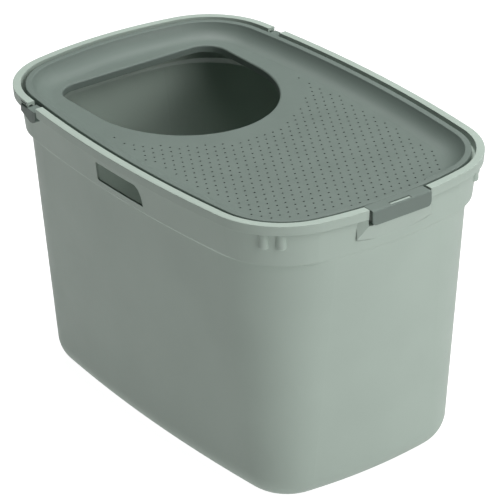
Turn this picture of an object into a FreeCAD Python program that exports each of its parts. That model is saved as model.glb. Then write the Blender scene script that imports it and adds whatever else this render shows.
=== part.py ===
import FreeCAD, Part
import math
import os
from collections import namedtuple
from FreeCAD import Vector

# Top-entry cat litter box: a deep tapered tub and a dished hood hinged inside its rim.
#
# Millimetres, +Z up.  The origin is the centre of the flat base, the latch faces -Y and
# the hinge notches are near the +Y end.  Every outline is a rounded rectangle whose sides
# bow outwards: eight tangent arcs, two symmetry planes.  Insets and drops are measured
# from the outside and the top of the rim lip, so every piece follows the rim.

os.makedirs("parts", exist_ok=True)

# ---- Overall size --------------------------------------------------------------------
RIM_WIDTH = 385.0            # outside of the rim lip, across X
RIM_LENGTH = 583.0           # outside of the rim lip, along Y
TUB_HEIGHT = 380.0           # base to the top of the lip
RIM_CORNER = 100.0           # corner radius of the lip
RIM_SIDE_BOW = 1620.0        # radius of the long sides of the lip
RIM_END_BOW = 510.0          # radius of the short sides of the lip

BASE_SIDE_INSET = 46.2       # lip to the sharp base outline, before the bottom rounding
BASE_END_INSET = 43.1
BASE_CORNER = 57.0
BASE_SIDE_BOW = 2125.0
BASE_END_BOW = 626.0
BOTTOM_ROUND = 38.0          # outside radius between the wall and the base

# ---- Tub wall and rim ----------------------------------------------------------------
WALL = 2.6
WALL_TOP_SIDE_INSET = 16.0   # lip to the plain wall, just under the skirt band
WALL_TOP_END_INSET = 15.1
WALL_TOP_CORNER = 107.5
WALL_TOP_SIDE_BOW = 1707.0
WALL_TOP_END_BOW = 536.0
BAND_STEP = 3.5              # height of the step from the wall out to the skirt band
BAND_STEP_RISE = 1.8         # inside of the step above its outside, to keep the thickness
BAND_BOTTOM_DROP = 55.0      # lip top to the lower edge of the skirt band
BAND_BOTTOM_INSET = 13.0     # lip outside to the lower edge of the skirt band
BAND_TOP_INSET = 8.1         # lip outside to the band, just under the flange
FLANGE_DROP = 11.8           # height of the outer flange of the rim
FLANGE_DRAFT = 0.8           # how far the flange leans in over that height
FLANGE_THICKNESS = 2.2
LIP_WIDTH = 9.7
LIP_PLATE = 2.4
LIP_ROUND = 0.7

# ---- Corner ribs under the flange ----------------------------------------------------
RIB_HEIGHT = 21.0            # below the flange
RIB_WIDTH = 12.0             # half-round ribs, upright while the band behind them leans
RIB_INSET = 5.3              # lip outside to the rib
RIB_ROUND = 3.0              # lower end
RIB_PITCH_ANGLE = 12.5       # between the two ribs of a corner, seen from its centre
RIB_PAIR_ANGLE = 45.0        # middle of the pair, up from the X axis

# ---- Hand slots in the long sides ----------------------------------------------------
SLOT_LENGTH = 90.0
SLOT_HEIGHT = 23.5
SLOT_CENTRE_Y = -6.0
SLOT_TOP_DROP = 23.5         # lip top to the upper edge of the slot
SLOT_REAR_ROUND = 3.0
SLOT_FRONT_RUN = 13.5        # how far the front end slants, as a quarter ellipse

# ---- Lid -----------------------------------------------------------------------------
LID_THICKNESS = 2.2
LID_GAP = 5.3                # lip inside to the edge of the lid
LID_DROP = 1.1               # lip top to the top of the lid flange
LID_SKIRT = 9.4              # height of the turned-down edge, from the flange top
LID_FLANGE_WIDTH = 7.5
DISH_DEPTH = 16.9            # flange top down to the deck
DISH_WALL_RUN = 8.5          # how far the dish wall leans in before it is rounded
DISH_ROUND = 26.0            # hollow radius between the dish wall and the deck
DISH_LIP_ROUND = 1.2         # small radius where the flange drops into the dish

# ---- Entry opening in the lid --------------------------------------------------------
ENTRY_SIDE_MARGIN = 44.5     # foot of the dish wall to the opening
ENTRY_REAR_MARGIN = 35.5
ENTRY_LENGTH = 225.0
ENTRY_NOSE = 130.0           # depth of the half-elliptic front
ENTRY_CORNER = 30.0
ENTRY_COLLAR = 9.0           # height of the turned-down collar, from the deck top
ENTRY_ROUND = 2.0

# ---- Litter perforations in the deck -------------------------------------------------
PERF_DIAMETER = 2.5
PERF_PITCH = 11.75           # across X; rows are staggered by half of it
PERF_ROW = 10.3
PERF_EDGE_MARGIN = 4.4       # flat of the deck to the nearest hole
PERF_FRONT_REACH = 10.3      # how much nearer the front rim the field runs
PERF_ENTRY_MARGIN = 29.0     # entry opening to the nearest hole
PERF_BESIDE_ENTRY = 73.0     # how far the field runs back past the front of the entry

# ---- Hinge ---------------------------------------------------------------------------
HINGE_FROM_REAR = 125.5      # rear end of the rim to the hinge axis
HINGE_NOTCH = 20.0           # width of the notch in the rim
HINGE_NOTCH_FRONT = 7.0      # hinge axis to the front end of the notch
NOTCH_END_WALL = 2.0         # walls that close the hollow lip at both ends of the notch
NOTCH_END_DROP = 4.0         # lip top to the foot of those walls
CLIP_CLEARANCE = 0.4
CLIP_ABOVE_AXIS = 5.5        # hinge axis to the top of the clip
PIN_DIAMETER = 6.0
PIN_RUNNING_GAP = 0.06       # radial
PIN_LENGTH = 8.0
SEAT_DROP = 16.0             # lip top to the foot of the rim notch, where the clip sits
AXIS_ABOVE_SEAT = 5.0        # foot of the rim notch to the hinge axis
HINGE_SIDE_GAP = 0.7         # lid edge to the clip
EAR_REAR = 29.0              # how far the ear reaches behind the hinge axis
EAR_EDGE = ((-1.6, 20.5), (6.0, 21.5), (20.0, 17.5))   # behind the axis, below the lip
EAR_SHOULDER_DROP = 7.2      # lip top to the top of the ear behind the notch
EAR_TOP_GAP = 1.8            # ear to the cut-down flange above it
EAR_PROUD = 1.2              # how far the ear stands out past the lip
EAR_WALL_GAP = 0.4           # ear to the skirt band
EAR_ROUND = 5.0
EAR_ROOT = 5.2               # how far the ear is carried inwards before it is trimmed
VENT_LENGTH = 13.0           # slit in the flange above the ear
VENT_HEIGHT = 1.6
VENT_FROM_NOTCH = 4.0

# ---- Front latch ---------------------------------------------------------------------
FLAP_WIDTH = 83.0
FLAP_SIDE_GAP = 2.2          # flap to each end of the notch in the rim
FLAP_HANG = 18.0             # flap top down to its lower edge
FLAP_PROUD = 1.4             # flap face past the lip
FLAP_BEND = 2.0              # outside radius of the bend
FLAP_CORNER = 5.5            # rounding of the lower corners
SILL_GAP = 0.8               # flap underside to the cut-down rim wall
FLAP_FLOOR_GAP = 1.2         # flap lower edge to the pad below it
PAD_SET_BACK = 0.5           # flange to the face of the pad
PAD_FADE = 10.0              # how far past the notch the pad runs out into the band
PAD_DROP = 44.0              # lip top to the foot of the pad
CATCH_LENGTH = 28.0
CATCH_THICKNESS = 2.8
CATCH_BELOW_TOP = 0.2        # flap top down to the top of the catch
CATCH_SLOT_GAP = 0.7         # catch to the front and to the ends of its slot
CATCH_REAR_GAP = 2.0         # catch to the rear of its slot
CATCH_DEPTH = 8.0            # how far the ridge runs down the front of its block
CATCH_FLAP_GAP = 1.3         # hanging part of the flap to the block behind it
CATCH_BLOCK_MARGIN = 6.0     # block that carries the catch, past each end of it
LEDGE_WIDTH = 3.5            # ledge that carries the lid skirt, past its inside
LEDGE_THICKNESS = 2.0
LEDGE_FROM_HINGE = 22.0      # the ledge stops this far in front of the hinge axis

# ---- Outlines ------------------------------------------------------------------------
Ring = namedtuple("Ring", "half_x half_y corner side_bow end_bow")

RIM = Ring(RIM_WIDTH / 2, RIM_LENGTH / 2, RIM_CORNER, RIM_SIDE_BOW, RIM_END_BOW)
BASE = Ring(RIM.half_x - BASE_SIDE_INSET, RIM.half_y - BASE_END_INSET, BASE_CORNER,
            BASE_SIDE_BOW, BASE_END_BOW)
WALL_TOP = Ring(RIM.half_x - WALL_TOP_SIDE_INSET, RIM.half_y - WALL_TOP_END_INSET,
                WALL_TOP_CORNER, WALL_TOP_SIDE_BOW, WALL_TOP_END_BOW)

LIP_Z = TUB_HEIGHT
FLANGE_Z = LIP_Z - FLANGE_DROP
BAND_Z = LIP_Z - BAND_BOTTOM_DROP
WALL_TOP_Z = BAND_Z - BAND_STEP
LID_Z = LIP_Z - LID_DROP
DECK_Z = LID_Z - DISH_DEPTH
SKIRT_Z = LID_Z - LID_SKIRT
SEAT_Z = LIP_Z - SEAT_DROP
AXIS_Z = SEAT_Z + AXIS_ABOVE_SEAT
LID_INSET = LIP_WIDTH + LID_GAP
DISH_INSET = LID_INSET + LID_FLANGE_WIDTH
HINGE_Y = RIM.half_y - HINGE_FROM_REAR
NOTCH_Y0 = HINGE_Y - HINGE_NOTCH_FRONT
NOTCH_Y1 = NOTCH_Y0 + HINGE_NOTCH
NOTCH_HALF = FLAP_WIDTH / 2 + FLAP_SIDE_GAP
ENTRY_HALF = RIM.half_x - DISH_INSET - DISH_WALL_RUN - ENTRY_SIDE_MARGIN
ENTRY_REAR_Y = RIM.half_y - DISH_INSET - DISH_WALL_RUN - ENTRY_REAR_MARGIN
ENTRY_FRONT_Y = ENTRY_REAR_Y - ENTRY_LENGTH
FLAP_FACE_Y = -(RIM.half_y + FLAP_PROUD)
FLAP_FLOOR_Z = LID_Z - FLAP_HANG - FLAP_FLOOR_GAP
SILL_Z = LID_Z - LID_THICKNESS - SILL_GAP
CATCH_Y = FLAP_FACE_Y + FLAP_BEND + CATCH_SLOT_GAP + CATCH_THICKNESS / 2
FAR = 2000.0                 # beyond the whole model
OVER = 1.0                   # how far a cutter runs past the surface that it cuts
TOUCH = 1e-3                 # two places closer than this are one


def inset(ring, distance):
    """The same outline moved inwards by distance, with every arc centre kept."""
    return Ring(*(value - distance for value in ring))


def band(z, skin=0):
    """Outline of the skirt band at height z, which leans out to the lip, inwards by skin."""
    slope = (BAND_BOTTOM_INSET - BAND_TOP_INSET) / (BAND_BOTTOM_DROP - FLANGE_DROP)
    return inset(RIM, BAND_TOP_INSET + (FLANGE_Z - z) * slope + skin)


def corner_centre(ring):
    """Centre of the corner arc that is tangent to both bowed sides."""
    side = Vector(ring.half_x - ring.side_bow, 0, 0)
    end = Vector(0, ring.half_y - ring.end_bow, 0)
    side_reach = ring.side_bow - ring.corner
    end_reach = ring.end_bow - ring.corner
    span = (end - side).Length
    along = (side_reach ** 2 - end_reach ** 2 + span ** 2) / (2 * span)
    across = math.sqrt(side_reach ** 2 - along ** 2)
    unit = (end - side) / span
    return side + unit * along + Vector(-unit.y, unit.x, 0) * across


def outline(ring, z):
    """Closed wire of a bowed rounded rectangle: a side arc and a corner arc, four times."""
    centre = corner_centre(ring)
    side = Vector(ring.half_x - ring.side_bow, 0, 0)
    end = Vector(0, ring.half_y - ring.end_bow, 0)
    on_side = centre + (centre - side).normalize() * ring.corner
    on_end = centre + (centre - end).normalize() * ring.corner
    middle = centre + ((on_side + on_end) / 2 - centre).normalize() * ring.corner

    def at(point, sign_x, sign_y):
        return Vector(point.x * sign_x, point.y * sign_y, z)

    mid_side = Vector(ring.half_x, 0, 0)
    mid_end = Vector(0, ring.half_y, 0)
    edges = []
    for sign_x, sign_y in ((1, 1), (-1, 1), (-1, -1), (1, -1)):
        corner = [at(p, sign_x, sign_y) for p in (on_side, middle, on_end)]
        turns_left = sign_x * sign_y > 0
        if not turns_left:
            corner.reverse()
        edges.append(Part.Arc(*corner).toShape())
        if turns_left:
            far_end = at(on_end, -sign_x, sign_y)
            edges.append(Part.Arc(corner[2], at(mid_end, 1, sign_y), far_end).toShape())
        else:
            far_end = at(on_side, sign_x, -sign_y)
            edges.append(Part.Arc(corner[2], at(mid_side, sign_x, 1), far_end).toShape())
    return Part.Wire(edges)


def tapered(*levels):
    """Solid that runs straight between outlines; each level is (ring, z)."""
    return Part.makeLoft([outline(ring, z) for ring, z in levels], True, True)


def side_x(ring, y):
    """Where the long side of an outline lies at y, on the +X side."""
    centre = corner_centre(ring)
    bow = Vector(ring.half_x - ring.side_bow, 0, 0)
    turn_y = centre.y + (centre.y - bow.y) / (centre - bow).Length * ring.corner
    if abs(y) <= turn_y:
        return bow.x + math.sqrt(ring.side_bow ** 2 - y ** 2)
    return centre.x + math.sqrt(ring.corner ** 2 - (abs(y) - centre.y) ** 2)


def end_y(ring, x):
    """Where the short side of an outline lies at x, on the +Y side."""
    return ring.half_y - ring.end_bow + math.sqrt(ring.end_bow ** 2 - x ** 2)


def box(x0, x1, y0, y1, z0, z1):
    """Box between two corners."""
    return Part.makeBox(x1 - x0, y1 - y0, z1 - z0, Vector(x0, y0, z0))


def prism(points, direction):
    """Straight-sided solid: a closed polygon pushed along a vector."""
    return Part.Face(Part.makePolygon(points + points[:1])).extrude(direction)


def mirrored(shape):
    """The same shape on the other long side."""
    return shape.mirror(Vector(0, 0, 0), Vector(1, 0, 0))


def flat_at(pieces, z):
    """Those edges or faces that lie wholly at height z."""
    return [p for p in pieces
            if abs(p.BoundBox.ZMin - z) < TOUCH and abs(p.BoundBox.ZMax - z) < TOUCH]


def flat_edges(shape, z):
    """Edges of a shape that lie wholly at height z."""
    return flat_at(shape.Edges, z)


def write(name, shape):
    """Check one sub-part and save it under its node name."""
    clean = shape.removeSplitter()
    if not clean.isValid():
        raise RuntimeError(name + " is not a valid shape")
    clean.exportStep("parts/" + name + ".step")
    print(name, len(clean.Solids), "solid", round(clean.Volume / 1000), "cm3", len(clean.Faces), "faces")


# ---- Tub -----------------------------------------------------------------------------
def tub_body():
    """Wall, skirt band and rim lip, hollowed out, without its cut-outs."""
    outside = tapered((BASE, 0), (WALL_TOP, WALL_TOP_Z), (band(BAND_Z), BAND_Z), (band(LIP_Z), LIP_Z))
    outside = outside.makeFillet(BOTTOM_ROUND, flat_edges(outside, 0))

    step_z = BAND_Z + BAND_STEP_RISE
    inside = tapered((inset(BASE, WALL), WALL), (inset(WALL_TOP, WALL), WALL_TOP_Z + BAND_STEP_RISE),
                     (band(step_z, WALL), step_z), (band(FLANGE_Z, WALL), FLANGE_Z),
                     (inset(RIM, LIP_WIDTH), LIP_Z))
    inside = inside.makeFillet(BOTTOM_ROUND - WALL, flat_edges(inside, WALL))

    cap = tapered((inset(RIM, FLANGE_DRAFT), FLANGE_Z), (RIM, LIP_Z))
    cap = cap.makeFillet(LIP_ROUND, flat_edges(cap, LIP_Z))
    plate_z = LIP_Z - LIP_PLATE
    lean = FLANGE_DRAFT * LIP_PLATE / FLANGE_DROP
    channel = tapered((inset(RIM, FLANGE_DRAFT + FLANGE_THICKNESS), FLANGE_Z),
                      (inset(RIM, lean + FLANGE_THICKNESS), plate_z))
    return outside.fuse(cap.cut(channel)).cut(inside)


def corner_ribs():
    """Pairs of half-round upright ribs under the flange at the four corners."""
    centre = corner_centre(RIM)
    radius = RIB_WIDTH / 2
    reach = RIM_CORNER - RIB_INSET - radius
    foot_z = FLANGE_Z - RIB_HEIGHT
    low = foot_z - OVER
    behind = tapered((band(low, WALL / 2), low), (band(LIP_Z, WALL / 2), LIP_Z))
    ribs = []
    for shift in (-0.5, 0.5):
        angle = math.radians(RIB_PAIR_ANGLE + shift * RIB_PITCH_ANGLE)
        foot = centre + Vector(math.cos(angle), math.sin(angle), 0) * reach
        foot.z = foot_z
        rib = Part.makeCylinder(radius, LIP_Z - LIP_PLATE / 2 - foot_z, foot)
        rib = rib.makeFillet(RIB_ROUND, flat_edges(rib, foot_z)).cut(behind)
        ribs += [rib, mirrored(rib)]
    ribs += [rib.mirror(Vector(0, 0, 0), Vector(0, 1, 0)) for rib in ribs]
    return ribs


def hand_slot():
    """Cutter for the grip opening of the +X side."""
    z1 = LIP_Z - SLOT_TOP_DROP
    z0 = z1 - SLOT_HEIGHT
    y0 = SLOT_CENTRE_Y - SLOT_LENGTH / 2
    y1 = SLOT_CENTRE_Y + SLOT_LENGTH / 2
    nose = Part.Ellipse(Vector(0, 0, 0), SLOT_HEIGHT, SLOT_FRONT_RUN).toShape(0, math.pi / 2)
    upright = FreeCAD.Rotation(Vector(0, 0, 1), Vector(0, -1, 0), Vector(1, 0, 0), "XYZ")
    nose.Placement = FreeCAD.Placement(Vector(0, y0 + SLOT_FRONT_RUN, z0), upright)
    corners = [Vector(0, y0, z0), Vector(0, y1, z0), Vector(0, y1, z1),
               Vector(0, y0 + SLOT_FRONT_RUN, z1)]
    sides = [Part.makeLine(a, b) for a, b in zip(corners, corners[1:])]
    face = Part.Face(Part.Wire(Part.__sortEdges__([nose] + sides)))
    cutter = face.extrude(Vector(RIM_WIDTH, 0, 0))
    rear = [e for e in cutter.Edges
            if abs(e.BoundBox.YMin - y1) < TOUCH and e.BoundBox.XLength > RIM_WIDTH / 2]
    return cutter.makeFillet(SLOT_REAR_ROUND, rear)


def notch_ends():
    """Short walls that close the hollow lip at both ends of the +X hinge notch."""
    half = FLANGE_THICKNESS / 2
    outer = tapered((inset(RIM, FLANGE_DRAFT + half), FLANGE_Z), (inset(RIM, half), LIP_Z))
    inner = tapered((band(FLANGE_Z, WALL / 2), FLANGE_Z), (band(LIP_Z, WALL / 2), LIP_Z))
    hollow = outer.cut(inner)
    z0 = LIP_Z - NOTCH_END_DROP
    z1 = LIP_Z - LIP_PLATE / 2
    front = box(0, FAR, NOTCH_Y0 - NOTCH_END_WALL, NOTCH_Y0 + OVER, z0, z1)
    rear = box(0, FAR, NOTCH_Y1 - OVER, NOTCH_Y1 + NOTCH_END_WALL, z0, z1)
    walls = [wall.common(hollow) for wall in (front, rear)]
    return walls + [mirrored(wall) for wall in walls]


def hinge_notch():
    """Cutter for the rim at the +X hinge: the notch, room for the ear, and the slit."""
    notch = box(0, FAR, NOTCH_Y0, NOTCH_Y1, SEAT_Z, FAR)
    under = box(0, FAR, NOTCH_Y1 - OVER, HINGE_Y + EAR_REAR + CLIP_CLEARANCE,
                SEAT_Z - OVER, LIP_Z - EAR_SHOULDER_DROP + EAR_TOP_GAP)
    vent_y = NOTCH_Y1 + VENT_FROM_NOTCH
    vent_z = LIP_Z - LIP_PLATE
    vent = box(0, FAR, vent_y, vent_y + VENT_LENGTH, vent_z - VENT_HEIGHT, vent_z)
    low = SEAT_Z - 2 * OVER
    inside = tapered((band(low), low), (band(LIP_Z), LIP_Z))
    return notch.fuse([under.cut(inside), vent.cut(inside)])


def latch_pad():
    """Filled pad of the rim below the flap, run out into the band below and at both ends."""
    foot_z = LIP_Z - PAD_DROP
    top_z = FLANGE_Z + OVER
    face = inset(RIM, FLANGE_DRAFT + PAD_SET_BACK)
    outer = tapered((band(foot_z), foot_z), (face, FLAP_FLOOR_Z), (face, top_z))
    low = foot_z - OVER
    behind = tapered((band(low, WALL / 2), low), (band(LIP_Z, WALL / 2), LIP_Z))
    tip = NOTCH_HALF + PAD_FADE
    tip_y = -end_y(band(FLANGE_Z, WALL / 2), tip)
    face_y = -end_y(face, NOTCH_HALF)
    plan = [Vector(-tip, tip_y, foot_z), Vector(-NOTCH_HALF, face_y, foot_z),
            Vector(-NOTCH_HALF, -FAR, foot_z), Vector(NOTCH_HALF, -FAR, foot_z),
            Vector(NOTCH_HALF, face_y, foot_z), Vector(tip, tip_y, foot_z)]
    window = prism(plan, Vector(0, 0, top_z - foot_z))
    return outer.cut(behind).common(window)


def latch_notch():
    """Cutter for the front of the rim: down to the sill, and to the pad outside it."""
    over = box(-NOTCH_HALF, NOTCH_HALF, -FAR, 0, SILL_Z, FAR)
    outer = box(-NOTCH_HALF, NOTCH_HALF, -FAR, 0, FLAP_FLOOR_Z, FAR)
    low = FLAP_FLOOR_Z - OVER
    inside = tapered((band(low), low), (band(LIP_Z), LIP_Z))
    return over.fuse(outer.cut(inside))


def catch():
    """Block on the pad with the upright ridge that stands in the slot of the flap."""
    half = CATCH_LENGTH / 2 + CATCH_BLOCK_MARGIN
    wall_y = -(RIM.half_y - BAND_TOP_INSET - WALL / 2)
    behind_flap = FLAP_FACE_Y + LID_THICKNESS + CATCH_FLAP_GAP
    foot_z = FLAP_FLOOR_Z - OVER
    block = box(-half, half, behind_flap, wall_y, foot_z, SILL_Z)
    ridge = box(-CATCH_LENGTH / 2, CATCH_LENGTH / 2, CATCH_Y - CATCH_THICKNESS / 2,
                CATCH_Y + CATCH_THICKNESS / 2, SILL_Z - CATCH_DEPTH, LID_Z - CATCH_BELOW_TOP)
    return block.fuse(ridge)


def lid_ledge():
    """Ledge inside the rim, in front of the hinges, that the lid skirt rests on."""
    outer = inset(RIM, BAND_TOP_INSET + WALL / 2)
    inner = inset(RIM, LID_INSET + LID_THICKNESS + LEDGE_WIDTH)
    low = SKIRT_Z - LEDGE_THICKNESS
    hole = tapered((inner, low - OVER), (inner, SKIRT_Z + OVER))
    ring = tapered((outer, low), (outer, SKIRT_Z)).cut(hole)
    front = box(-FAR, FAR, -FAR, HINGE_Y - LEDGE_FROM_HINGE, low - OVER, SKIRT_Z + OVER)
    return ring.common(front)


def make_tub():
    """The whole tub, one moulding."""
    tub = tub_body().fuse(corner_ribs() + notch_ends() + [latch_pad(), lid_ledge()])
    slot = hand_slot()
    notch = hinge_notch()
    tub = tub.cut([slot, mirrored(slot), notch, mirrored(notch), latch_notch()])
    return tub.fuse(catch())


# ---- Lid -----------------------------------------------------------------------------
def entry_outline(margin, z):
    """Wire of the D-shaped entry opening, grown outwards by margin."""
    half = ENTRY_HALF + margin
    nose_y = ENTRY_FRONT_Y + ENTRY_NOSE
    rear_y = ENTRY_REAR_Y + margin
    corner = ENTRY_CORNER + margin
    depth = ENTRY_NOSE + margin
    oval = Part.Ellipse(Vector(0, nose_y, z), max(half, depth), min(half, depth))
    if depth > half:
        oval.XAxis = Vector(0, 1, 0)
        front = oval.toShape(math.pi / 2, 3 * math.pi / 2)
    else:
        front = oval.toShape(math.pi, 2 * math.pi)
    turn = corner * (1 - math.sqrt(0.5))
    edges = [front]
    for side in (1, -1):
        start = Vector(side * half, rear_y - corner, z)
        bend = Vector(side * (half - turn), rear_y - turn, z)
        stop = Vector(side * (half - corner), rear_y, z)
        edges.append(Part.makeLine(Vector(side * half, nose_y, z), start))
        edges.append(Part.Arc(start, bend, stop).toShape())
    edges.append(Part.makeLine(Vector(half - corner, rear_y, z), Vector(corner - half, rear_y, z)))
    return Part.Wire(Part.__sortEdges__(edges))


def entry_solid(margin, z0, z1):
    """Upright solid of the entry opening."""
    return Part.Face(entry_outline(margin, z0)).extrude(Vector(0, 0, z1 - z0))


def dish(skin, overshoot):
    """Solid that fills the hollow of the dish, grown outwards and down by skin."""
    deck = DECK_Z - skin
    steepness = DISH_WALL_RUN / DISH_DEPTH
    top = inset(RIM, DISH_INSET - skin - overshoot * steepness)
    low = inset(RIM, DISH_INSET - skin + DISH_WALL_RUN * (DISH_DEPTH + skin) / DISH_DEPTH)
    fill = tapered((low, deck), (top, LID_Z + overshoot))
    return fill.makeFillet(DISH_ROUND + skin, flat_edges(fill, deck))


def perforations():
    """Staggered field of small holes through the deck, between its edge and the entry."""
    slope = math.atan2(DISH_DEPTH, DISH_WALL_RUN)
    flat_from = DISH_INSET + DISH_WALL_RUN + DISH_ROUND * math.tan(slope / 2)
    deck_edge = inset(RIM, flat_from + PERF_EDGE_MARGIN)
    field_edge = deck_edge._replace(half_y=deck_edge.half_y + PERF_FRONT_REACH)
    field = Part.Face(outline(field_edge, 0))
    keep_off = Part.Face(entry_outline(PERF_ENTRY_MARGIN, 0))
    rear_y = ENTRY_FRONT_Y + PERF_BESIDE_ENTRY
    rows = math.ceil(RIM_LENGTH / PERF_ROW / 2)
    columns = math.ceil(RIM_WIDTH / PERF_PITCH / 2)
    holes = []
    for row in range(-rows, rows):
        y = row * PERF_ROW - field_edge.half_y % PERF_ROW
        stagger = PERF_PITCH / 2 if row % 2 else 0
        for column in range(-columns, columns + 1):
            spot = Vector(column * PERF_PITCH + stagger, y, 0)
            if y > rear_y or not field.isInside(spot, TOUCH, True):
                continue
            if keep_off.isInside(spot, TOUCH, True):
                continue
            base = Vector(spot.x, spot.y, DECK_Z - LID_THICKNESS - OVER)
            holes.append(Part.makeCylinder(PERF_DIAMETER / 2, LID_Z - base.z, base))
    return holes


def make_lid():
    """The dished lid with its collar, perforations and hinge pins, one moulding."""
    edge = inset(RIM, LID_INSET)
    flange = tapered((edge, LID_Z - LID_THICKNESS), (edge, LID_Z))
    flange = flange.makeFillet(LID_THICKNESS / 2, flat_edges(flange, LID_Z))
    skirt_inner = inset(RIM, LID_INSET + LID_THICKNESS)
    skirt = tapered((edge, SKIRT_Z), (edge, LID_Z - LID_THICKNESS))
    skirt = skirt.cut(tapered((skirt_inner, SKIRT_Z - OVER), (skirt_inner, LID_Z - LID_THICKNESS)))
    hollow = dish(0, OVER)
    shell = flange.fuse([skirt, dish(LID_THICKNESS, 0)])
    collar_low = DECK_Z - ENTRY_COLLAR
    shell = shell.fuse(entry_solid(LID_THICKNESS, collar_low, DECK_Z)).cut(hollow)
    shell = shell.makeFillet(DISH_LIP_ROUND, mouth_edges(shell))
    lid = shell.cut(entry_solid(0, collar_low - OVER, LID_Z))
    lid = lid.makeFillet(ENTRY_ROUND, entry_edges(lid))
    return lid.cut(perforations()).fuse(hinge_pins())


def mouth_edges(shell):
    """Edges where the flat top of the lid flange drops into the dish."""
    inner = [(face, wire) for face in flat_at(shell.Faces, LID_Z) for wire in face.Wires]
    return [e for face, wire in inner if not wire.isSame(face.OuterWire) for e in wire.Edges]


def entry_edges(lid):
    """Edges where the deck turns down into the entry opening."""
    inside = Part.Face(entry_outline(OVER, DECK_Z)).BoundBox
    return [e for e in flat_edges(lid, DECK_Z) if inside.isInside(e.BoundBox)]


def hinge_pins():
    """Two stub pins on the skirt, on the hinge axis."""
    skirt_x = side_x(inset(RIM, LID_INSET + LID_THICKNESS), HINGE_Y)
    base = Vector(skirt_x, HINGE_Y, AXIS_Z)
    pin = Part.makeCylinder(PIN_DIAMETER / 2, LID_THICKNESS + PIN_LENGTH, base, Vector(1, 0, 0))
    half = PIN_DIAMETER / 2
    boss = box(skirt_x - LID_THICKNESS, skirt_x + LID_THICKNESS / 2, HINGE_Y - half, HINGE_Y + half,
               AXIS_Z - half, LID_Z - LID_THICKNESS)
    shape = pin.fuse(boss)
    return [shape, mirrored(shape)]


# ---- Hinge clips ---------------------------------------------------------------------
def make_clip():
    """Clip of the +X side: a bridge in the notch with the pin bore, and the outer ear."""
    y0 = NOTCH_Y0 + CLIP_CLEARANCE
    y1 = NOTCH_Y1 - CLIP_CLEARANCE
    inner_x = side_x(inset(RIM, LID_INSET - HINGE_SIDE_GAP), y0)
    outer_x = side_x(RIM, HINGE_Y) + EAR_PROUD
    ear_x = side_x(band(SEAT_Z, -EAR_WALL_GAP), HINGE_Y)
    top = AXIS_Z + CLIP_ABOVE_AXIS
    bridge = box(inner_x, ear_x + OVER, y0, y1, SEAT_Z, top)

    rear = HINGE_Y + EAR_REAR
    shoulder = LIP_Z - EAR_SHOULDER_DROP
    profile = [(y0, top), (y0, SEAT_Z)]
    profile += [(HINGE_Y + behind, LIP_Z - drop) for behind, drop in EAR_EDGE]
    profile += [(rear, SEAT_Z + OVER), (rear, shoulder), (y1, shoulder), (y1, top)]
    ear = prism([Vector(ear_x - EAR_ROOT, y, z) for y, z in profile],
                Vector(outer_x - ear_x + EAR_ROOT, 0, 0))
    soft = [e for e in ear.Edges if e.BoundBox.XLength > WALL and e.BoundBox.ZMax < SEAT_Z - OVER]
    ear = ear.makeFillet(EAR_ROUND, soft)
    wall_side = tapered((band(BAND_Z, -EAR_WALL_GAP), BAND_Z), (band(LIP_Z, -EAR_WALL_GAP), LIP_Z))
    proud = tapered((inset(RIM, -EAR_PROUD), 0), (inset(RIM, -EAR_PROUD), FAR))
    ear = ear.cut(wall_side).common(proud)
    bore = Part.makeCylinder(PIN_DIAMETER / 2 + PIN_RUNNING_GAP, LID_GAP + PIN_LENGTH,
                             Vector(inner_x - OVER, HINGE_Y, AXIS_Z), Vector(1, 0, 0))
    return bridge.fuse(ear).cut(bore)


# ---- Latch flap ----------------------------------------------------------------------
def make_flap():
    """Bent flap: a plate over the sill, a bend with the slot, and the hanging grip."""
    hinge_y = -(RIM.half_y - LID_INSET)
    low = LID_Z - FLAP_HANG
    t = LID_THICKNESS
    half = FLAP_WIDTH / 2
    section = [Vector(-half, hinge_y, LID_Z), Vector(-half, hinge_y, LID_Z - t),
               Vector(-half, FLAP_FACE_Y + t, LID_Z - t), Vector(-half, FLAP_FACE_Y + t, low),
               Vector(-half, FLAP_FACE_Y, low), Vector(-half, FLAP_FACE_Y, LID_Z)]
    flap = prism(section, Vector(FLAP_WIDTH, 0, 0))
    bend = [e for e in flap.Edges
            if e.BoundBox.XLength > half and abs(e.BoundBox.YMin - FLAP_FACE_Y) < TOUCH
            and abs(e.BoundBox.ZMin - LID_Z) < TOUCH]
    flap = flap.makeFillet(FLAP_BEND, bend)
    lower = [e for e in flap.Edges
             if abs(e.BoundBox.YLength - t) < TOUCH and abs(e.BoundBox.ZMin - low) < TOUCH
             and e.BoundBox.XLength < TOUCH]
    flap = flap.makeFillet(FLAP_CORNER, lower)
    reach = CATCH_LENGTH / 2 + CATCH_SLOT_GAP
    slot = box(-reach, reach, CATCH_Y - CATCH_THICKNESS / 2 - CATCH_SLOT_GAP,
               CATCH_Y + CATCH_THICKNESS / 2 + CATCH_REAR_GAP, LID_Z - 2 * t, LID_Z + OVER)
    joint = tapered((inset(RIM, LID_INSET), 0), (inset(RIM, LID_INSET), FAR))
    return flap.cut([slot, joint])


write("tub", make_tub())
write("lid", make_lid())
write("latch_flap", make_flap())
clip = make_clip()
write("hinge_clip_right", clip)
write("hinge_clip_left", mirrored(clip))
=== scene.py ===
"""Looks and studio of a top-entry cat litter box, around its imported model.

Metres, in the model's own frame: the tub stands on z = 0, the front latch faces -Y, the
entry opening and the hinges are towards +Y, and X runs across.
"""
import math

import bmesh
import bpy
from bpy.props import FloatProperty, FloatVectorProperty, PointerProperty
from mathutils import Matrix, Vector


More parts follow.
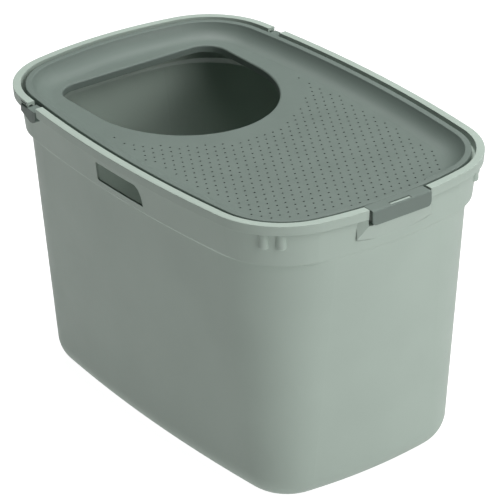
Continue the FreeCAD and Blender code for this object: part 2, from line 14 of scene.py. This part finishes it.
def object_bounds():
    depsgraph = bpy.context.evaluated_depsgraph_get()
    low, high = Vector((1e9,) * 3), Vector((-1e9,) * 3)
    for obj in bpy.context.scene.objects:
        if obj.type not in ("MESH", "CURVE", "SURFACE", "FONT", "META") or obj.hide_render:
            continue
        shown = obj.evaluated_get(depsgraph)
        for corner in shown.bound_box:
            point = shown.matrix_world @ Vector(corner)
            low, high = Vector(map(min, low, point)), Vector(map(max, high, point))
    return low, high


bl_info = {
    "name": "Cat litter box looks",
    "version": (1, 0, 0),
    "blender": (4, 5, 0),
    "location": "3D View > Sidebar > Litter box",
    "description": "Moulded plastic finishes and a plain studio for a top-entry cat litter box",
    "category": "Object",
}

# ---- Plastic and floor finish --------------------------------------------------------
NOISE_LOW, NOISE_HIGH = 0.3, 0.7     # the range in which most of a noise's values lie
FLECK_SHADE = 0.86                   # colour of the darkest fleck, against the plain colour
FLECK_SHARE = 0.12                   # how much of that colour the strongest fleck takes
EDGE_WEAR_AND_HIGHLIGHT_SHADE = 1.7                   # colour mixed into edges as wear and painted highlight, against the plain colour
EDGE_START, EDGE_FULL = 0.98, 0.80   # cosine of softened to true normal: edge begins, is full
BEVEL_SAMPLES = 4
RUB_PATCHES = 4                      # patches of roughness along one patch of colour
PLASTIC_IOR = 1.49
FIBRE_SIZE = 0.004
FIBRE_SHADE = 0.99                   # darkest fibre of the floor, against the plain paper
PAPER_ROUGHNESS = 0.9

# ---- Floor, lights and camera --------------------------------------------------------
FLOOR_RADIUS = 20.0
FLOOR_SEGMENTS = 96
FLOOR_GAP = 0.0002           # the floor lies this far under the base, so the two never flicker
SOFTBOX_SIZE = 1.6
SOFTBOX_DISTANCE = 3.0       # from the middle of the box
SOFTBOXES = (                # name, azimuth from the front towards +X, elevation, share of the power
    ("rear_top_softbox", 150, 65, 39),
    ("top_softbox", 0, 88, 37),
    ("front_softbox", 10, 40, 21),
    ("front_low_softbox", 10, 15, 19),
    ("front_right_softbox", 40, 40, 14),
    ("right_softbox", 100, 40, 13),
)
SENSOR_WIDTH = 36.0          # millimetres
VIEW_REACH = 100.0           # how far the camera sees

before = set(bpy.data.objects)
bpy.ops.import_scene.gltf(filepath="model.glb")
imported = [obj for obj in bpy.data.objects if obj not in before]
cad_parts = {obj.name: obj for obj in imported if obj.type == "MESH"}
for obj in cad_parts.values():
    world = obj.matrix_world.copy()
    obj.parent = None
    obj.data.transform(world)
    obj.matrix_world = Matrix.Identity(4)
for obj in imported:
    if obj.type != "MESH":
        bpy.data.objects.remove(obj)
CAD_LOW, CAD_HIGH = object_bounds()


# ---- Settings a user would change ----------------------------------------------------
class LitterBoxFinish(bpy.types.PropertyGroup):
    """Colours and surface of the two moulded plastics."""

    tub_colour: FloatVectorProperty(
        name="Tub colour", description="Pale sage green of the tub",
        default=(0.400, 0.479, 0.424), size=3, min=0, max=1, subtype="COLOR")
    lid_colour: FloatVectorProperty(
        name="Lid colour", description="Darker grey green of the lid, the flap and the clips",
        default=(0.158, 0.199, 0.177), size=3, min=0, max=1, subtype="COLOR")
    shade_change: FloatProperty(
        name="Shade change", description="How far the colour drifts across a moulding",
        default=0.03, min=0, max=0.3, subtype="FACTOR")
    cloud_size: FloatProperty(
        name="Cloud size", description="Size of the soft patches in the colour",
        default=0.09, min=0.01, max=1, unit="LENGTH")
    roughness: FloatProperty(
        name="Roughness", description="Middle roughness of the satin surface",
        default=0.46, min=0.05, max=1, subtype="FACTOR")
    roughness_change: FloatProperty(
        name="Roughness change", description="How far the roughness drifts each way",
        default=0.06, min=0, max=0.5, subtype="FACTOR")
    shine: FloatProperty(
        name="Shine", description="Strength of the reflections; one half is bare plastic",
        default=0.3, min=0, max=1, subtype="FACTOR")
    grain_size: FloatProperty(
        name="Grain size", description="Size of the fine texture that the mould leaves",
        default=0.0009, min=0.0002, max=0.01, precision=5, unit="LENGTH")
    grain_depth: FloatProperty(
        name="Grain depth", description="Depth of the fine texture",
        default=0.000012, min=0, max=0.001, precision=6, unit="LENGTH")
    wave_size: FloatProperty(
        name="Wave size", description="Length of the shallow waves of a large thin wall",
        default=0.11, min=0.01, max=1, unit="LENGTH")
    wave_depth: FloatProperty(
        name="Wave depth", description="Height of those waves",
        default=0.00025, min=0, max=0.005, precision=5, unit="LENGTH")
    # Edges are painted paler, partly as wear and partly as painted highlight; these set the width of
    # the softened edges and how much paler they are painted
    edge_width: FloatProperty(
        name="Edge width", description="Width of the softened, slightly rubbed edges",
        default=0.0009, min=0.0001, max=0.01, precision=5, unit="LENGTH")
    edge_wear_and_highlight: FloatProperty(
        name="Edge lift", description="How much paler a rubbed edge is",
        default=0.16, min=0, max=1, subtype="FACTOR")


class LitterBoxStudio(bpy.types.PropertyGroup):
    """Camera, lights and floor."""

    view_azimuth: FloatProperty(
        name="View azimuth", description="Camera direction round the box; 0 looks along +Y",
        default=math.radians(-36.44), subtype="ANGLE")
    view_elevation: FloatProperty(
        name="View elevation", description="Camera height above the horizon",
        default=math.radians(27.42), subtype="ANGLE")
    view_roll: FloatProperty(
        name="View roll", description="Turn of the picture about the view direction",
        default=math.radians(-0.87), subtype="ANGLE")
    view_distance: FloatProperty(
        name="View distance", description="Camera to the point it aims at",
        default=3.6047, min=0.5, max=20, unit="LENGTH")
    view_aim: FloatVectorProperty(
        name="View aim", description="Point that the camera aims at",
        default=(0.0154, 0.0109, 0.190), size=3, subtype="TRANSLATION", unit="LENGTH")
    lens: FloatProperty(
        name="Lens", description="Focal length on a 36 mm sensor, in millimetres",
        default=216.4, min=10, max=500)
    light_power: FloatProperty(
        name="Light power", description="Power of all softboxes together",
        default=147.0, min=0, max=5000, unit="POWER")
    sky_strength: FloatProperty(
        name="Surround", description="Brightness of the even surround light",
        default=0.0, min=0, max=5)
    floor_glow: FloatProperty(
        name="Floor glow", description="Light that the pale floor throws back up on the box",
        default=0.575, min=0, max=2)
    floor_white: FloatProperty(
        name="Floor white", description="How bright the lit floor looks to the camera",
        default=0.95, min=0, max=2)
    floor_shade: FloatProperty(
        name="Floor shade", description="Share of the light that the floor sends back",
        default=0.32, min=0, max=1, subtype="FACTOR")


# ---- Material nodes ------------------------------------------------------------------
def node(tree, kind, inputs=None, **settings):
    """A new node; inputs are values, or sockets to link from."""
    made = tree.nodes.new(kind)
    for name, value in settings.items():
        setattr(made, name, value)
    for name, value in (inputs or {}).items():
        if isinstance(value, bpy.types.NodeSocket):
            tree.links.new(value, made.inputs[name])
        else:
            made.inputs[name].default_value = value
    return made


def noise(tree, place, size, detail, roughness):
    """Noise whose patches are about that size, in metres."""
    made = node(tree, "ShaderNodeTexNoise",
                {"Vector": place, "Scale": 1 / size, "Detail": detail, "Roughness": roughness})
    return made.outputs["Fac"]


def spread(tree, value, low, high):
    """Noise stretched to run from low to high."""
    made = node(tree, "ShaderNodeMapRange",
                {"Value": value, "From Min": NOISE_LOW, "From Max": NOISE_HIGH,
                 "To Min": low, "To Max": high})
    return made.outputs["Result"]


def scaled(colour, factor):
    """An opaque colour made paler or darker."""
    return [min(1.0, channel * factor) for channel in colour] + [1.0]


def blended(tree, share, first, second):
    """Colour mix of two colours or sockets."""
    made = node(tree, "ShaderNodeMix", data_type="RGBA")
    for name, value in (("Factor_Float", share), ("A_Color", first), ("B_Color", second)):
        socket = next(s for s in made.inputs if s.identifier == name)
        if isinstance(value, bpy.types.NodeSocket):
            tree.links.new(value, socket)
        else:
            socket.default_value = value
    return next(s for s in made.outputs if s.identifier == "Result_Color")


def moulded_plastic(name, colour, look):
    """Satin injection-moulded plastic: soft colour drift, mould grain, waves, and edges painted
    paler as wear and painted highlight.
    """
    material = bpy.data.materials.new(name)
    material.use_nodes = True
    tree = material.node_tree
    tree.nodes.clear()
    place = node(tree, "ShaderNodeTexCoord").outputs["Object"]

    cloud = noise(tree, place, look.cloud_size, detail=2.0, roughness=0.5)
    drift = spread(tree, cloud, 0.0, 1.0)
    body = blended(tree, drift, scaled(colour, 1 - look.shade_change),
                   scaled(colour, 1 + look.shade_change))
    grain = noise(tree, place, look.grain_size, detail=3.0, roughness=0.6)
    fleck = spread(tree, grain, 0.0, FLECK_SHARE)
    body = blended(tree, fleck, body, scaled(colour, FLECK_SHADE))

    soft = node(tree, "ShaderNodeBevel", {"Radius": look.edge_width},
                samples=BEVEL_SAMPLES).outputs["Normal"]
    facing = node(tree, "ShaderNodeNewGeometry").outputs["Normal"]
    # Painted highlight and wear: edges are painted paler where the softened normal turns away from
    # the true one
    turn = node(tree, "ShaderNodeVectorMath", {0: soft, 1: facing}, operation="DOT_PRODUCT")
    edge = node(tree, "ShaderNodeMapRange",
                {"Value": turn.outputs["Value"], "From Min": EDGE_START, "From Max": EDGE_FULL,
                 "To Min": 0.0, "To Max": look.edge_wear_and_highlight}).outputs["Result"]
    body = blended(tree, edge, body, scaled(colour, EDGE_WEAR_AND_HIGHLIGHT_SHADE))

    wave = noise(tree, place, look.wave_size, detail=1.0, roughness=0.4)
    waves = node(tree, "ShaderNodeBump",
                 {"Height": wave, "Distance": look.wave_depth, "Normal": soft})
    skin = node(tree, "ShaderNodeBump", {"Height": grain, "Distance": look.grain_depth,
                                         "Normal": waves.outputs["Normal"]})
    rub = noise(tree, place, look.cloud_size / RUB_PATCHES, detail=4.0, roughness=0.6)
    rough = spread(tree, rub, look.roughness - look.roughness_change,
                   look.roughness + look.roughness_change)
    shader = node(tree, "ShaderNodeBsdfPrincipled",
                  {"Base Color": body, "Roughness": rough, "Normal": skin.outputs["Normal"],
                   "IOR": PLASTIC_IOR, "Specular IOR Level": look.shine})
    node(tree, "ShaderNodeOutputMaterial", {"Surface": shader.outputs["BSDF"]})
    return material


def give(node_name, material):
    """Put one material on every slot of a carried-over node."""
    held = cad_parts[node_name].data.materials
    held.clear()
    held.append(material)


def shared(name, colour, look):
    """The plastic of that name, made once."""
    return bpy.data.materials.get(name) or moulded_plastic(name, colour, look)


# ---- One operator for each piece or group --------------------------------------------
class LITTERBOX_OT_tub(bpy.types.Operator):
    """Finish the tub in pale sage plastic"""

    bl_idname = "litterbox.tub"
    bl_label = "Tub"

    def execute(self, context):
        look = context.scene.litter_box_finish
        give("tub", shared("sage_tub_plastic", look.tub_colour, look))
        return {"FINISHED"}


class LITTERBOX_OT_lid(bpy.types.Operator):
    """Finish the dished, perforated lid in darker plastic"""

    bl_idname = "litterbox.lid"
    bl_label = "Lid"

    def execute(self, context):
        look = context.scene.litter_box_finish
        give("lid", shared("grey_green_lid_plastic", look.lid_colour, look))
        return {"FINISHED"}


class LITTERBOX_OT_latch_flap(bpy.types.Operator):
    """Finish the latch flap in the plastic of the lid"""

    bl_idname = "litterbox.latch_flap"
    bl_label = "Latch flap"

    def execute(self, context):
        look = context.scene.litter_box_finish
        give("latch_flap", shared("grey_green_lid_plastic", look.lid_colour, look))
        return {"FINISHED"}


class LITTERBOX_OT_hinge_clips(bpy.types.Operator):
    """Finish both hinge clips in the plastic of the lid"""

    bl_idname = "litterbox.hinge_clips"
    bl_label = "Hinge clips"

    def execute(self, context):
        look = context.scene.litter_box_finish
        for name in ("hinge_clip_left", "hinge_clip_right"):
            give(name, shared("grey_green_lid_plastic", look.lid_colour, look))
        return {"FINISHED"}


# ---- Studio --------------------------------------------------------------------------
def direction(azimuth, elevation):
    """Unit vector from the box towards a place round it; azimuth 0 is in front."""
    flat = math.cos(elevation)
    return Vector((math.sin(azimuth) * flat, -math.cos(azimuth) * flat, math.sin(elevation)))


def facing_matrix(place, back, roll=0.0):
    """Matrix of a camera or lamp at place that looks against back."""
    right = Vector((0, 0, 1)).cross(back).normalized()
    up = back.cross(right)
    turned_right = right * math.cos(roll) + up * math.sin(roll)
    turned_up = up * math.cos(roll) - right * math.sin(roll)
    turned = Matrix((turned_right, turned_up, back)).transposed().to_4x4()
    return Matrix.Translation(place) @ turned


def softbox(name, azimuth, elevation, power):
    """A square area lamp aimed at the middle of the box."""
    lamp = bpy.data.lights.new(name, "AREA")
    lamp.shape = "SQUARE"
    lamp.size = SOFTBOX_SIZE
    lamp.energy = power
    holder = bpy.data.objects.new(name, lamp)
    bpy.context.scene.collection.objects.link(holder)
    back = direction(math.radians(azimuth), math.radians(elevation))
    middle = (CAD_LOW + CAD_HIGH) / 2
    holder.matrix_world = facing_matrix(middle + back * SOFTBOX_DISTANCE, back)


def floor_material(studio):
    """Pale paper floor that glows a little, like a lit sweep, with a faint fibre."""
    material = bpy.data.materials.new("pale_paper_floor")
    material.use_nodes = True
    tree = material.node_tree
    tree.nodes.clear()
    place = node(tree, "ShaderNodeTexCoord").outputs["Object"]
    fibre = noise(tree, place, FIBRE_SIZE, detail=3.0, roughness=0.6)
    shade = spread(tree, fibre, 0.0, 1.0)
    paper = blended(tree, shade, scaled((1, 1, 1), studio.floor_shade * FIBRE_SHADE),
                    scaled((1, 1, 1), studio.floor_shade))
    seen = node(tree, "ShaderNodeLightPath").outputs["Is Camera Ray"]
    glow = node(tree, "ShaderNodeMapRange",
                {"Value": seen, "To Min": studio.floor_glow, "To Max": studio.floor_white})
    shader = node(tree, "ShaderNodeBsdfPrincipled",
                  {"Base Color": paper, "Roughness": PAPER_ROUGHNESS, "Specular IOR Level": 0.0,
                   "Emission Color": (1, 1, 1, 1), "Emission Strength": glow.outputs["Result"]})
    node(tree, "ShaderNodeOutputMaterial", {"Surface": shader.outputs["BSDF"]})
    return material


def floor_plane(studio):
    """Large round floor that the tub stands on."""
    mesh = bpy.data.meshes.new("studio_floor")
    shape = bmesh.new()
    bmesh.ops.create_circle(shape, cap_ends=True, cap_tris=False, segments=FLOOR_SEGMENTS,
                            radius=FLOOR_RADIUS)
    shape.to_mesh(mesh)
    shape.free()
    mesh.materials.append(floor_material(studio))
    floor = bpy.data.objects.new("studio_floor", mesh)
    floor.location.z = CAD_LOW.z - FLOOR_GAP
    bpy.context.scene.collection.objects.link(floor)


def surround(studio):
    """Even surround light that shows white behind the floor's far edge."""
    world = bpy.data.worlds.new("studio_surround")
    world.use_nodes = True
    tree = world.node_tree
    tree.nodes.clear()
    seen = node(tree, "ShaderNodeLightPath").outputs["Is Camera Ray"]
    level = node(tree, "ShaderNodeMapRange",
                 {"Value": seen, "To Min": studio.sky_strength, "To Max": 1.0})
    light = node(tree, "ShaderNodeBackground",
                 {"Color": (1, 1, 1, 1), "Strength": level.outputs["Result"]})
    node(tree, "ShaderNodeOutputWorld", {"Surface": light.outputs["Background"]})
    bpy.context.scene.world = world


class LITTERBOX_OT_stage(bpy.types.Operator):
    """Make the pale floor, the soft lights and the camera"""

    bl_idname = "litterbox.stage"
    bl_label = "Stage"

    def execute(self, context):
        scene = context.scene
        studio = scene.litter_box_studio
        floor_plane(studio)
        surround(studio)
        total = sum(share for *_, share in SOFTBOXES)
        for name, azimuth, elevation, share in SOFTBOXES:
            softbox(name, azimuth, elevation, studio.light_power * share / total)
        back = direction(studio.view_azimuth, studio.view_elevation)
        lens = bpy.data.cameras.new("view_camera")
        lens.lens = studio.lens
        lens.sensor_width = SENSOR_WIDTH
        lens.clip_end = VIEW_REACH
        camera = bpy.data.objects.new("view_camera", lens)
        scene.collection.objects.link(camera)
        aim = Vector(studio.view_aim)
        place = aim + back * studio.view_distance
        camera.matrix_world = facing_matrix(place, back, studio.view_roll)
        scene.camera = camera
        scene.view_settings.view_transform = "Standard"
        return {"FINISHED"}


# ---- Panel and registration ----------------------------------------------------------
class LITTERBOX_PT_panel(bpy.types.Panel):
    """Buttons for the pieces and the stage, with their settings"""

    bl_idname = "LITTERBOX_PT_panel"
    bl_label = "Litter box"
    bl_space_type = "VIEW_3D"
    bl_region_type = "UI"
    bl_category = "Litter box"

    def draw(self, context):
        layout = self.layout
        for operator in OPERATORS:
            layout.operator(operator.bl_idname)
        for group in (context.scene.litter_box_finish, context.scene.litter_box_studio):
            column = layout.column(align=True)
            for name in group.bl_rna.properties.keys():
                if name not in ("rna_type", "name"):
                    column.prop(group, name)


OPERATORS = (LITTERBOX_OT_tub, LITTERBOX_OT_lid, LITTERBOX_OT_latch_flap, LITTERBOX_OT_hinge_clips,
             LITTERBOX_OT_stage)
CLASSES = (LitterBoxFinish, LitterBoxStudio) + OPERATORS + (LITTERBOX_PT_panel,)


def register():
    """Make the classes and the settings known to Blender."""
    for made in CLASSES:
        bpy.utils.register_class(made)
    bpy.types.Scene.litter_box_finish = PointerProperty(type=LitterBoxFinish)
    bpy.types.Scene.litter_box_studio = PointerProperty(type=LitterBoxStudio)


def unregister():
    """Undo register()."""
    del bpy.types.Scene.litter_box_studio
    del bpy.types.Scene.litter_box_finish
    for made in reversed(CLASSES):
        bpy.utils.unregister_class(made)


def main():
    """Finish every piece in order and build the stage."""
    register()
    bpy.ops.litterbox.tub()
    bpy.ops.litterbox.lid()
    bpy.ops.litterbox.latch_flap()
    bpy.ops.litterbox.hinge_clips()
    bpy.ops.litterbox.stage()


if __name__ == "__main__":
    main()
